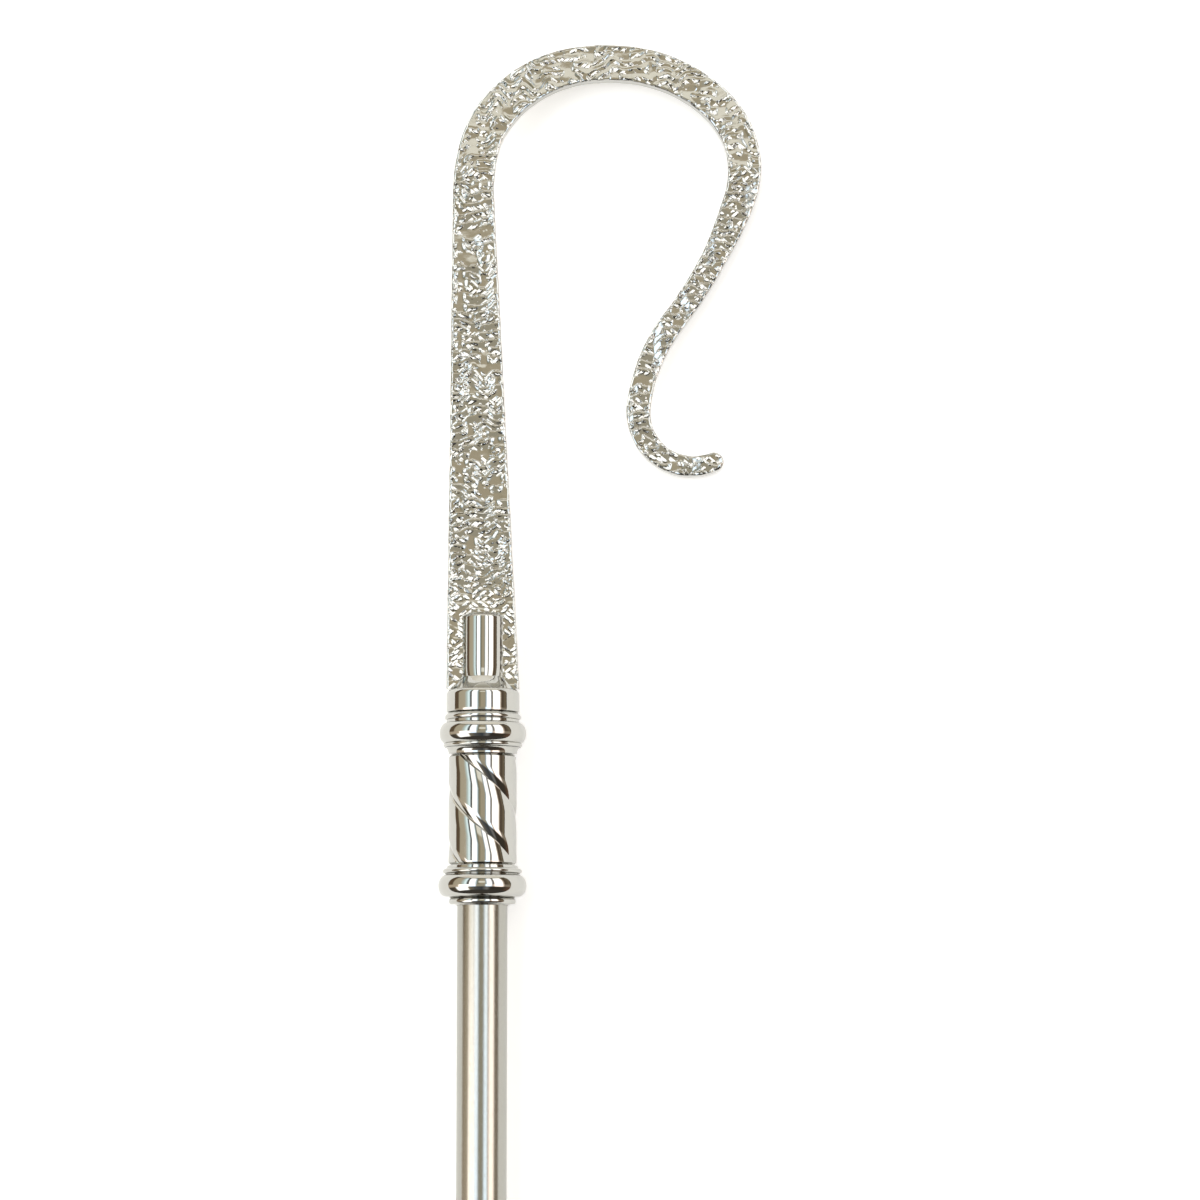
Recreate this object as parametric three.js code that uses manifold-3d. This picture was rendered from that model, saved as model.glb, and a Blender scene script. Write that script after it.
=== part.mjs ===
// A bishop's crosier in plated brass, lying on its side as it rests on a table.
// A flat tapering bar is bent into the crook. Its foot straddles a round pin that rises from a collar.
// Below the collar come two turned knops with a spiral-fluted grip between them, then a long tube
// that ends in a plain foot. The pieces are stacked on one axis and meet at hairline seams.
//
// Units are millimetres. Each piece is drawn upright about the staff's own axis, +Y, with the crook in
// the XY plane and Y = 0 at the top of the collar. The group at the end lays the staff down, with +Z up.
import * as THREE from 'three';
import { mergeVertices } from 'three/addons/utils/BufferGeometryUtils.js';
import Module from 'manifold-3d';

const wasm = await Module();
wasm.setup();

const overallLength = 1850;   // from the crook's crown to the foot
const seam = 0.3;             // the hairline between one piece and the next
const sides = 36;             // facets round a turned piece

const collar = {
  diameter: 36.5,
  height: 11.3,
  shoulder: 1.6,              // how far in from the collar's side its rounded upper edge starts
  shoulderHeight: 2.8,
};
const pin = {
  diameter: 21,
  height: 39.2,
  dome: 3.2,
  flare: 6.5,                 // how far up the pin its foot starts to flare out to the collar
  hollow: 0.5,                // how deeply the flare is hollowed
};

const crook = {
  thickness: 8,
  edgeRound: 1.2,             // radius along the bar's four long edges
  shank: 250,                 // the nearly straight rise from the collar
  lean: 1.3,                  // degrees that the shank leans away from the hook
  tipRun: 2.5,                // the last straight bit, before the rounded tip
  // The bends after the shank: radius, and degrees turned, positive towards the hook's mouth.
  bends: {
    shoulder: { radius: 98, turn: 14.4 },
    risingTurn: { radius: 51, turn: 26.1 },
    nearCrown: { radius: 65, turn: 41.0 },
    crown: { radius: 94, turn: 18.3 },
    farCrown: { radius: 75, turn: 35.2 },
    outerTurn: { radius: 47, turn: 65.2 },
    fallingSide: { radius: 222, turn: 18.4 },
    waist: { radius: 90, turn: -30.0 },
    curl: { radius: 28, turn: -50.2 },
    tipCurl: { radius: 26.5, turn: -66 },
  },
  // The bar's width, at shares of its length. Its foot is as wide as the collar that it stands on.
  widths: [
    { at: 0, width: collar.diameter },
    { at: 0.19, width: 28.6 },
    { at: 0.39, width: 20.8 },
    { at: 0.47, width: 19.9 },
    { at: 0.56, width: 18.2 },
    { at: 0.725, width: 16.6 },
    { at: 0.79, width: 12.4 },
    { at: 0.92, width: 12.2 },
    { at: 1, width: 9.8 },
  ],
};

const grip = {
  diameter: 34,
  length: 54.8,
  flutes: 3,                  // spiral lobes round the grip
  lead: 82,                   // how far a lobe runs down the staff in one full turn
  start: 10.6,                // how far below the grip's top a lobe's edge crosses the crook's face side
  depth: 1.35,                // how far a lobe sinks at its lower end
  tuck: 0.65,                 // how far its upper end starts below the full radius
  crest: 0.31,                // the share of a lobe where it has swelled to the full radius
  fall: 0.75,                 // the share of a lobe where it starts to sink
  step: 0.03,                 // the share of a lobe that the sharp edge to the next one takes
  endBand: 1.0,               // plain band at each end
};

const shaft = { diameter: 25, wall: 1.5, seat: 14, clearance: 0.3 };
const foot = { wall: 1.8, seat: 32, solidEnd: 12, ring: 1.4, ringHeight: 5, edge: 4 };

// A knop is a bead between two small rings, on a neck a little wider than the grip. Each ring or bead:
// how far its middle is below the knop's top face, how far it stands out from the grip, half its height.
const upperKnop = {
  height: 20.6,
  neck: 1.1,
  skirt: 1.9,                 // how far the hollow below the lip stands out from the grip
  foot: grip.diameter / 2 + 0.1,
  ring: { drop: 2.2, proud: 2.1, half: 1.4 },
  bead: { drop: 10.2, proud: 4.7, half: 5.4 },
  lip: { drop: 16.1, proud: 2.7, half: 1.3 },
};
const lowerKnop = {
  height: 19.6,
  neck: 1.0,
  skirt: -1.3,
  foot: shaft.diameter / 2 + shaft.clearance + 0.8,   // a thin rim round the tube's socket
  ring: { drop: 2.7, proud: 2.8, half: 1.4 },
  bead: { drop: 9.9, proud: 5.0, half: 5.6 },
  lip: { drop: 17.6, proud: -0.3, half: 1.5 },
};

// Turned profiles: points (radius, y) that run from the top of a piece down its outside.

function corner(radius, y, edge) {
  // A quarter round where a side turns in to its flat lower end.
  const points = [];
  const steps = 3;
  for (let i = 0; i <= steps; i++) {
    const angle = (Math.PI / 2) * (i / steps);
    points.push([radius - edge + edge * Math.cos(angle), y + edge * (1 - Math.sin(angle))]);
  }
  return points;
}

function curve(start, control, end, steps) {
  // A quadratic curve that leaves start towards control and arrives at end from it.
  const points = [];
  for (let i = 0; i <= steps; i++) {
    const t = i / steps;
    const [a, b, c] = [(1 - t) * (1 - t), 2 * t * (1 - t), t * t];
    points.push([a * start[0] + b * control[0] + c * end[0], a * start[1] + b * control[1] + c * end[1]]);
  }
  return points;
}

function bulge(middle, neck, radius, half, steps) {
  // A half-round ring that swells from the neck to its full radius and back.
  const points = [];
  for (let i = 0; i <= steps; i++) {
    const angle = Math.PI * (i / steps);
    points.push([neck + (radius - neck) * Math.sin(angle), middle + half * Math.cos(angle)]);
  }
  return points;
}

function turned(profile) {
  // The profile runs downwards, so it is reversed to give faces that point outwards.
  const points = profile.map(([radius, y]) => new THREE.Vector2(Math.max(radius, 0), y)).reverse();
  return new THREE.LatheGeometry(points, sides);
}

function knopProfile(top, knop) {
  const gripRadius = grip.diameter / 2;
  const swell = ({ drop, proud, half }, steps) => {
    const radius = gripRadius + proud;
    const neck = Math.min(gripRadius + knop.neck, radius - 1);
    return bulge(top - drop, neck, radius, half, steps);
  };
  return [
    [0, top],
    [gripRadius + knop.neck / 2, top],
    ...swell(knop.ring, 5),
    ...swell(knop.bead, 9),
    ...swell(knop.lip, 5),
    ...hollow(gripRadius + knop.skirt, top - knop.lip.drop - knop.lip.half, knop.foot, top - knop.height),
  ];
}

function hollow(outer, upper, inner, lower) {
  // A hollow quarter curve that sweeps in and down from a ring to the piece below.
  const points = [];
  const steps = 4;
  for (let i = 0; i <= steps; i++) {
    const angle = (Math.PI / 2) * (i / steps);
    const radius = outer - (outer - inner) * Math.sin(angle);
    points.push([radius, lower + (upper - lower) * Math.cos(angle)]);
  }
  return points;
}

// Solids, for the few pieces that are cut.

function solidOf(geometry) {
  const bare = geometry.clone();
  bare.deleteAttribute('normal');
  bare.deleteAttribute('uv');
  const merged = mergeVertices(bare, 1e-4);
  return new wasm.Manifold(new wasm.Mesh({
    numProp: 3,
    vertProperties: new Float32Array(merged.attributes.position.array),
    triVerts: new Uint32Array(merged.index.array),
  }));
}

function geometryOf(solid) {
  const { numProp, numVert, vertProperties, triVerts } = solid.getMesh();
  const position = new Float32Array(numVert * 3);
  for (let i = 0; i < numVert; i++) {
    position.set(vertProperties.subarray(i * numProp, i * numProp + 3), i * 3);
  }
  const geometry = new THREE.BufferGeometry();
  geometry.setAttribute('position', new THREE.BufferAttribute(position, 3));
  geometry.setIndex(new THREE.BufferAttribute(new Uint32Array(triVerts), 1));
  return geometry;
}

// The crook: a centreline of straights and arcs, and a width at each share of its length.

function crookCentreline() {
  const stations = [];
  const lean = THREE.MathUtils.degToRad(crook.lean);
  let heading = Math.PI / 2 + lean;
  let at = new THREE.Vector2(0, 0);
  let run = 0;
  const walk = (length, turn, steps) => {
    for (let i = 0; i < steps; i++) {
      heading -= turn / steps / 2;
      const step = length / steps;
      at = at.clone().add(new THREE.Vector2(Math.cos(heading), Math.sin(heading)).multiplyScalar(step));
      heading -= turn / steps / 2;
      run += step;
      stations.push({ at, heading, run });
    }
  };
  stations.push({ at, heading, run });
  walk(crook.shank, 0, 8);
  for (const { radius, turn } of Object.values(crook.bends)) {
    const angle = THREE.MathUtils.degToRad(turn);
    walk(radius * Math.abs(angle), angle, Math.max(2, Math.ceil(Math.abs(turn) / 8)));
  }
  walk(crook.tipRun, 0, 1);
  return stations;
}

function widthAt(share) {
  const after = Math.max(1, crook.widths.findIndex((w) => w.at >= share));
  const [a, b] = [crook.widths[after - 1], crook.widths[after]];
  return THREE.MathUtils.mapLinear(share, a.at, b.at, a.width, b.width);
}

function crookOutline() {
  const stations = crookCentreline();
  const length = stations.at(-1).run;
  const side = (sign) => stations.map(({ at, heading, run }) => {
    const half = widthAt(Math.min(run / length, 1)) / 2;
    const across = new THREE.Vector2(Math.sin(heading), -Math.cos(heading));
    return at.clone().addScaledVector(across, sign * half);
  });
  const right = side(1);
  const left = side(-1);
  // The tip is a half round on the end of the bar.
  const { at, heading } = stations.at(-1);
  const half = widthAt(1) / 2;
  const tip = [];
  const steps = 6;
  for (let i = 1; i < steps; i++) {
    const angle = heading - Math.PI / 2 + Math.PI * (i / steps);
    tip.push(at.clone().add(new THREE.Vector2(Math.cos(angle), Math.sin(angle)).multiplyScalar(half)));
  }
  // The foot is cut square to the staff.
  const baseY = seam;
  right[0].y = baseY;
  left[0].y = baseY;
  return [...right, ...tip, ...left.reverse()];
}

function makeCrook() {
  const shape = new THREE.Shape(crookOutline());
  const bar = new THREE.ExtrudeGeometry(shape, {
    depth: crook.thickness - 2 * crook.edgeRound,
    bevelEnabled: true,
    bevelThickness: crook.edgeRound,
    bevelSize: crook.edgeRound,
    bevelOffset: -crook.edgeRound,
    bevelSegments: 2,
  });
  bar.translate(0, 0, crook.edgeRound - crook.thickness / 2);
  const slot = turned(socketProfile(seam));
  return geometryOf(solidOf(bar).subtract(solidOf(slot)));
}

// The socket: pin, flare and collar in one turned piece. Grown by the seam, it is also the crook's slot.

function socketProfile(grow) {
  const pinRadius = pin.diameter / 2 + grow;
  const collarRadius = collar.diameter / 2 + grow;
  const top = pin.height + grow;
  const neck = [pinRadius, pin.flare + grow];
  const brink = [collarRadius - collar.shoulder, grow];
  const steps = 4;
  const profile = [];
  for (let i = 0; i <= steps; i++) {
    const angle = (Math.PI / 2) * (i / steps);
    profile.push([pinRadius * Math.sin(angle), top - pin.dome * (1 - Math.cos(angle))]);
  }
  // The flare's control point lies on the inner side of the straight line from neck to brink.
  const run = [brink[0] - neck[0], brink[1] - neck[1]];
  const inward = 2 * pin.hollow / Math.hypot(...run);
  const control = [(neck[0] + brink[0]) / 2 + run[1] * inward, (neck[1] + brink[1]) / 2 - run[0] * inward];
  profile.push(...curve(neck, control, brink, steps));
  profile.push(...curve(brink, [collarRadius, grow - collar.shoulderHeight / 3],
    [collarRadius, grow - collar.shoulderHeight], steps).slice(1));
  profile.push([collarRadius, -collar.height], [0, -collar.height]);
  return profile;
}

// The grip: the lobes wind down to the right, each sinking under the sharp upper edge of the next.

function lobeDepth(phase) {
  const edge = 1 - grip.step;
  if (phase < grip.crest) return grip.tuck * (1 - phase / grip.crest) ** 2;
  if (phase < grip.fall) return 0;
  if (phase < edge) return grip.depth * ((phase - grip.fall) / (edge - grip.fall)) ** 2;
  return THREE.MathUtils.mapLinear(phase, edge, 1, grip.depth, grip.tuck);
}

function lobePhases() {
  // Where round a lobe its points lie: evenly down to the sharp edge, and at that edge.
  const even = 9;
  return Array.from({ length: even + 1 }, (_, i) => (1 - grip.step) * (i / even));
}

function makeGrip(top) {
  const perLobe = lobePhases();
  const rows = 24;
  const columns = grip.flutes * perLobe.length;
  const position = [];
  const radius = grip.diameter / 2;
  const fluted = grip.length - 2 * grip.endBand;
  const inner = Array.from({ length: rows + 1 }, (_, i) => grip.endBand + (fluted * i) / rows);
  const levels = [0, ...inner, grip.length];
  for (const [row, drop] of levels.entries()) {
    const plain = row === 0 || row === levels.length - 1;
    for (let lobe = 0; lobe < grip.flutes; lobe++) {
      for (const phase of perLobe) {
        // Below the front of one lobe's edge comes the next lobe, so the phase grows down the staff.
        const turns = (drop - grip.start) / grip.lead - (lobe + phase) / grip.flutes;
        const angle = 2 * Math.PI * turns;
        const r = radius - (plain ? grip.depth : lobeDepth(phase));
        position.push(r * Math.sin(angle), top - drop, r * Math.cos(angle));
      }
    }
  }
  const index = [];
  for (let row = 0; row + 1 < levels.length; row++) {
    for (let c = 0; c < columns; c++) {
      const next = (c + 1) % columns;
      const [a, b] = [row * columns + c, row * columns + next];
      index.push(a, b, a + columns, b, b + columns, a + columns);
    }
  }
  const topCentre = position.length / 3;
  position.push(0, top, 0, 0, top - grip.length, 0);
  const last = (levels.length - 1) * columns;
  for (let c = 0; c < columns; c++) {
    const next = (c + 1) % columns;
    index.push(topCentre, next, c);
    index.push(topCentre + 1, last + c, last + next);
  }
  const geometry = new THREE.BufferGeometry();
  geometry.setAttribute('position', new THREE.Float32BufferAttribute(position, 3));
  geometry.setIndex(index);
  return geometry;
}

// The staff's lower pieces.

function makeTube(top, bottom) {
  const outer = shaft.diameter / 2;
  const inner = outer - shaft.wall;
  return turned([[inner, top], [outer, top], [outer, bottom], [inner, bottom], [inner, top]]);
}

function makeLowerKnop(top) {
  const bottom = top - lowerKnop.height;
  const mouth = shaft.diameter / 2 + shaft.clearance;
  const roof = bottom + shaft.seat + shaft.clearance;
  return turned([...knopProfile(top, lowerKnop), [mouth, bottom], [mouth, roof], [0, roof]]);
}

function makeFoot(end) {
  const bore = shaft.diameter / 2 + shaft.clearance;
  const outer = bore + foot.wall;
  const floor = end + foot.solidEnd;
  const mouth = floor + foot.seat;
  const half = foot.ringHeight / 2;
  return turned([
    [0, floor],
    [bore, floor],
    [bore, mouth],
    ...bulge(mouth - half, outer, outer + foot.ring, half, 6),
    ...corner(outer, end, foot.edge),
    [0, end],
  ]);
}

// Levels down the staff, each piece a seam below the one above.
const crownHeight = Math.max(...crookOutline().map((p) => p.y));
const upperKnopTop = -collar.height - seam;
const gripTop = upperKnopTop - upperKnop.height - seam;
const lowerKnopTop = gripTop - grip.length - seam;
const shaftTop = lowerKnopTop - lowerKnop.height + shaft.seat;
const footEnd = crownHeight - overallLength;
const shaftEnd = footEnd + foot.solidEnd + seam;

const polished = new THREE.MeshStandardMaterial({ color: 0xc9c3b4, roughness: 0.08, metalness: 1 });
const hammered = new THREE.MeshStandardMaterial({ color: 0xcdc8bb, roughness: 0.15, metalness: 1 });
const satin = new THREE.MeshStandardMaterial({ color: 0xbfb8a9, roughness: 0.3, metalness: 1 });

function piece(name, geometry, material) {
  const mesh = new THREE.Mesh(geometry, material);
  mesh.name = name;
  return mesh;
}

const pieces = {
  crook: piece('crook', makeCrook(), hammered),
  socket: piece('crook_socket', turned(socketProfile(0)), polished),
  upperKnop: piece('upper_knop', turned([...knopProfile(upperKnopTop, upperKnop),
    [0, upperKnopTop - upperKnop.height]]), polished),
  grip: piece('spiral_grip', makeGrip(gripTop), polished),
  lowerKnop: piece('lower_knop', makeLowerKnop(lowerKnopTop), polished),
  shaft: piece('shaft_tube', makeTube(shaftTop, shaftEnd), satin),
  foot: piece('foot_ferrule', makeFoot(footEnd), polished),
};

// Laying the staff down. It rests on three points: a knop, the foot and the crook's outer edge. The roll
// about the staff brings the crook down to the table, and the pitch brings the foot down to it.

function lowest(meshes, turn) {
  const point = new THREE.Vector3();
  let low = Infinity;
  for (const { geometry } of meshes) {
    const { position } = geometry.attributes;
    for (let i = 0; i < position.count; i++) {
      low = Math.min(low, point.fromBufferAttribute(position, i).applyQuaternion(turn).z);
    }
  }
  return low;
}

function layDown() {
  const knops = [pieces.upperKnop, pieces.lowerKnop];
  const turnOf = (pitch, roll) => new THREE.Quaternion().setFromEuler(new THREE.Euler(pitch, roll, 0, 'XYZ'));
  const balance = (gapAt) => {
    let [low, high] = [0, Math.PI / 8];
    for (let i = 0; i < 24; i++) {
      const middle = (low + high) / 2;
      if (gapAt(middle) > 0) low = middle;
      else high = middle;
    }
    return (low + high) / 2;
  };
  let [pitch, roll] = [0, 0];
  for (let round = 0; round < 4; round++) {
    pitch = balance((p) => lowest([pieces.foot], turnOf(p, roll)) - lowest(knops, turnOf(p, roll)));
    roll = balance((r) => lowest([pieces.crook], turnOf(pitch, r)) - lowest(knops, turnOf(pitch, r)));
  }
  return turnOf(pitch, roll);
}

const staff = new THREE.Group();
staff.add(...Object.values(pieces));
staff.quaternion.copy(layDown());
staff.updateMatrixWorld(true);

// The part's origin is on the table, under the middle of its outline.
const bounds = new THREE.Box3().setFromObject(staff, true);
staff.position.set(-(bounds.min.x + bounds.max.x) / 2, -(bounds.min.y + bounds.max.y) / 2, -bounds.min.z);

const crosier = new THREE.Group();
crosier.add(staff);

export default crosier;
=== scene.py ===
import math
from functools import partial

import bpy
import numpy as np
from mathutils import Matrix


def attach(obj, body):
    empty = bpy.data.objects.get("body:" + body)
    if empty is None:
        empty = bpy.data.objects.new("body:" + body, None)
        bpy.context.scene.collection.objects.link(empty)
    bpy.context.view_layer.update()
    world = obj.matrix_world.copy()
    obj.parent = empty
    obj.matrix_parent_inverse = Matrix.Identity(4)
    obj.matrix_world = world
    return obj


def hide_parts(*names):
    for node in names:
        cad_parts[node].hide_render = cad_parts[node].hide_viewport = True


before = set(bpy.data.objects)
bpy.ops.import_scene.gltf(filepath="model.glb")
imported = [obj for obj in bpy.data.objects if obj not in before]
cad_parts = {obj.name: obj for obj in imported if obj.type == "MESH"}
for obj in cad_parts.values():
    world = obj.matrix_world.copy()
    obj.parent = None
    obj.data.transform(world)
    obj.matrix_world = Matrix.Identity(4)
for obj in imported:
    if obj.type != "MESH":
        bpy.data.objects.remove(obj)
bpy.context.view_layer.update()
print("frame loaded:", ", ".join(sorted(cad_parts)))

# Every piece is drawn in the staff's own millimetres: x to the side that the hook opens to, y up
# the staff from the collar's top, z out of the crook's face. place() then lays it down where the
# CAD lies.


def nodePoints(name):
    # a CAD node's vertices, in metres
    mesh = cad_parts[name].data
    flat = np.empty(len(mesh.vertices) * 3)
    mesh.vertices.foreach_get("co", flat)
    return flat.reshape(-1, 3)


def unit(vector):
    return vector / np.linalg.norm(vector)


collarHeight = 11.3    # millimetres, from the collar's top down to the socket's lower face


def findStaff():
    # up is the line between the tube's two end rings, out is the crook's thinnest direction,
    # and the origin is on the axis, one collar's height above the socket's lower face
    tube = nodePoints("shaft_tube")
    low = tube[tube[:, 1] < tube[:, 1].min() + 0.001].mean(0)
    high = tube[tube[:, 1] > tube[:, 1].max() - 0.001].mean(0)
    up = unit(high - low)
    crook = nodePoints("crook")
    out = np.linalg.svd(crook - crook.mean(0), full_matrices=False)[2][2]
    out = out * np.sign(out[2])
    out = unit(out - up * out.dot(up))
    right = np.cross(up, out)
    lowerFace = ((nodePoints("crook_socket") - high) @ up).min()
    origin = high + up * (lowerFace + collarHeight / 1000)
    return {"origin": origin, "right": right, "up": up, "out": out}


staff = findStaff()


def place(points):
    # staff millimetres to world metres
    axes = np.stack([staff["right"], staff["up"], staff["out"]])
    return staff["origin"] + points @ axes / 1000


# Noise, worked out on whole arrays.


def hashed(ix, iy, seed):
    # one even random number from 0 to 1 for each whole-number cell
    ix, iy = ix.astype(np.int64), iy.astype(np.int64)
    n = (ix * 374761393 + iy * 668265263 + seed * 974634777) & 0xFFFFFFFF
    n = ((n ^ (n >> 13)) * 1274126177) & 0xFFFFFFFF
    n = ((n ^ (n >> 15)) * 2246822519) & 0xFFFFFFFF
    return ((n ^ (n >> 16)) & 0xFFFFFF) / float(0x1000000)


def noise(x, y, seed):
    # value noise: random corners blended by 3t^2 - 2t^3, from -1 to 1
    ix, iy = np.floor(x), np.floor(y)
    fx, fy = x - ix, y - iy
    fx, fy = fx * fx * (3 - 2 * fx), fy * fy * (3 - 2 * fy)
    low = hashed(ix, iy, seed) * (1 - fx) + hashed(ix + 1, iy, seed) * fx
    high = hashed(ix, iy + 1, seed) * (1 - fx) + hashed(ix + 1, iy + 1, seed) * fx
    return 2 * (low * (1 - fy) + high * fy) - 1


def smooth(low, high, value):
    # 0 below low, 1 above high, 3t^2 - 2t^3 between
    t = np.clip((value - low) / (high - low), 0, 1)
    return t * t * (3 - 2 * t)


# Meshes.


def makePiece(name, points, faces, material, slot, *nodes, sharp=40):
    mesh = bpy.data.meshes.new(name)
    mesh.from_pydata(place(points).tolist(), [], faces)
    mesh.polygons.foreach_set("use_smooth", np.ones(len(mesh.polygons), bool))
    mesh.update()
    mesh.set_sharp_from_angle(angle=math.radians(sharp))
    mesh.materials.append(material)
    piece = bpy.data.objects.new(name, mesh)
    bpy.context.scene.collection.objects.link(piece)
    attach(piece, "root")
    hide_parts(*nodes)
    print(f"{name}: {len(mesh.polygons)} faces")
    return piece


def gridFaces(rows, columns, closedRows=False, closedColumns=False):
    # quads of a rows x columns grid of points, joined round where it closes on itself
    r = np.arange(rows if closedRows else rows - 1)
    c = np.arange(columns if closedColumns else columns - 1)
    r, c = np.meshgrid(r, c, indexing="ij")
    nextR, nextC = (r + 1) % rows, (c + 1) % columns
    this, following = r * columns, nextR * columns
    quads = np.stack([this + c, this + nextC, following + nextC, following + c], -1)
    return quads.reshape(-1, 4)


def line(start, end, steps=1):
    return np.linspace(start, end, steps + 1)


def arc(centre, radiusX, radiusY, start, end, steps):
    # points on an ellipse from one angle to the other, in degrees
    angle = np.radians(np.linspace(start, end, steps + 1))
    return np.stack([centre[0] + radiusX * np.cos(angle), centre[1] + radiusY * np.sin(angle)], -1)


def curve(start, control, end, steps):
    # a quadratic curve: (1 - t)^2 start + 2 t (1 - t) control + t^2 end
    t = np.linspace(0, 1, steps + 1)[:, None]
    start, control, end = np.array(start), np.array(control), np.array(end)
    return (1 - t) ** 2 * start + 2 * t * (1 - t) * control + t**2 * end


def joined(*runs):
    # one profile, without points that repeat
    points = np.concatenate(runs)
    keep = np.r_[True, np.linalg.norm(np.diff(points, axis=0), axis=1) > 1e-4]
    return points[keep]


def addPoles(points, faces, sides, top, bottom, flip=False):
    # fans that join a grid's first ring to the axis at top, and its last ring to the axis at bottom
    count = len(points)
    here = np.arange(sides)
    after = (here + 1) % sides
    last = count - sides
    fans = np.concatenate([
        np.stack([np.full(sides, count), here, after], -1),
        np.stack([np.full(sides, count + 1), last + after, last + here], -1),
    ])
    points = np.concatenate([points, [[0, top, 0], [0, bottom, 0]]])
    return points, faces + (fans[:, ::-1] if flip else fans).tolist()


def turned(profile, sides):
    # x = r cos a, z = -r sin a, y = y: a profile that runs down the outside gives outward faces
    onAxis = profile[0, 0] < 1e-6
    rings = profile[1:-1] if onAxis else profile
    angle = np.linspace(0, 2 * math.pi, sides, endpoint=False)
    x = np.outer(rings[:, 0], np.cos(angle))
    z = np.outer(rings[:, 0], np.sin(angle))
    y = np.repeat(rings[:, 1:], sides, axis=1)
    points = np.stack([x, y, -z], -1).reshape(-1, 3)
    closed = not onAxis
    faces = gridFaces(len(rings), sides, closedRows=closed, closedColumns=True)[:, ::-1].tolist()
    if onAxis:
        return addPoles(points, faces, sides, profile[0, 1], profile[-1, 1])
    return points, faces


# Materials.


def newPlate(name, look):
    # a metal whose roughness wavers between two values
    material = bpy.data.materials.new(name)
    material.use_nodes = True
    tree = material.node_tree
    shader = tree.nodes["Principled BSDF"]
    shader.inputs["Base Color"].default_value = (*look["color"], 1)
    shader.inputs["Metallic"].default_value = 1
    haze = addNoise(tree, look["haze"], detail=4, stretch=look.get("stretch", (1, 1, 1)))
    roughness = addRange(tree, haze.outputs["Fac"], *look["roughness"])
    tree.links.new(roughness, shader.inputs["Roughness"])
    return material, tree, shader


def addMath(tree, kind, *inputs):
    # a math node, each input a number or another node's output
    node = tree.nodes.new("ShaderNodeMath")
    node.operation = kind
    for socket, entry in zip(node.inputs, inputs):
        if isinstance(entry, (int, float)):
            socket.default_value = entry
        else:
            tree.links.new(entry, socket)
    return node.outputs["Value"]


def addNoise(tree, scale, detail, stretch=(1, 1, 1)):
    # noise on Object coordinates, scale in cells to the metre
    coordinates = tree.nodes.new("ShaderNodeTexCoord")
    mapping = tree.nodes.new("ShaderNodeMapping")
    mapping.inputs["Scale"].default_value = stretch
    texture = tree.nodes.new("ShaderNodeTexNoise")
    texture.inputs["Scale"].default_value = scale
    texture.inputs["Detail"].default_value = detail
    tree.links.new(coordinates.outputs["Object"], mapping.inputs["Vector"])
    tree.links.new(mapping.outputs["Vector"], texture.inputs["Vector"])
    return texture


def addRange(tree, source, low, high):
    # a texture's middle range spread to low..high
    spread = tree.nodes.new("ShaderNodeMapRange")
    spread.inputs["From Min"].default_value = 0.3
    spread.inputs["From Max"].default_value = 0.7
    spread.inputs["To Min"].default_value = low
    spread.inputs["To Max"].default_value = high
    tree.links.new(source, spread.inputs["Value"])
    return spread.outputs["Result"]


def addBump(tree, shader, height, strength, distance):
    bump = tree.nodes.new("ShaderNodeBump")
    bump.inputs["Strength"].default_value = strength
    bump.inputs["Distance"].default_value = distance
    tree.links.new(height, bump.inputs["Height"])
    tree.links.new(bump.outputs["Normal"], shader.inputs["Normal"])


# haze, grain and ripple are in cells to the metre, and bump is (strength, distance in metres)
polishedLook = {
    "color": (0.445, 0.439, 0.41),
    "roughness": (0.035, 0.075),
    "haze": 160,
    "ripple": 120,
    "bump": (0.05, 0.0004),
}

hammeredLook = {
    "color": (0.445, 0.439, 0.41),
    "roughness": (0.06, 0.12),
    "haze": 400,
    "grain": 500,
    "grainHeight": 0.02,   # millimetres, as the blobs' heights are
    "bump": (1, 0.001),
}

satinLook = {
    "color": (0.355, 0.348, 0.314),
    "roughness": (0.16, 0.22),
    "haze": 900,
    "stretch": (1, 0.35, 1),
    "grain": 2600,
    "grainStretch": (1, 0.5, 1),
    "bump": (0.35, 0.00003),
}


def polishedPlate():
    look = polishedLook
    material, tree, shader = newPlate("polishedPlate", look)
    ripple = addNoise(tree, look["ripple"], detail=2)
    addBump(tree, shader, ripple.outputs["Fac"], *look["bump"])
    return material


def satinPlate():
    look = satinLook
    material, tree, shader = newPlate("satinPlate", look)
    grain = addNoise(tree, look["grain"], detail=3, stretch=look["grainStretch"])
    addBump(tree, shader, grain.outputs["Fac"], *look["bump"])
    return material


blobSize = {
    "long": 4.2,           # millimetres from one blob to the next along its long side
    "wide": 2.5,           # and across it
    "scatter": 0.85,       # how far the cells stray from an even grid
    "turn": 40,            # degrees that one set leans left and the other right
    "shift": 40.0,         # millimetres between the two sets, so that they differ
    "reach": 0.52,         # where a blob's rim meets the ground, as a share of its cell
    "shrink": 0.10,        # how much nearer it can lie
    "rim": 2.0,            # how steep the rim is, in millimetres to the cell
    "thick": 0.20,         # millimetres at a blob's middle
    "slope": (0.25, 0.36),  # least and greatest fall up the short side
    "share": 0.08,         # cells that stay empty
    "patch": 110,          # patches to the metre where all the blobs lean one way
}


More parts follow.
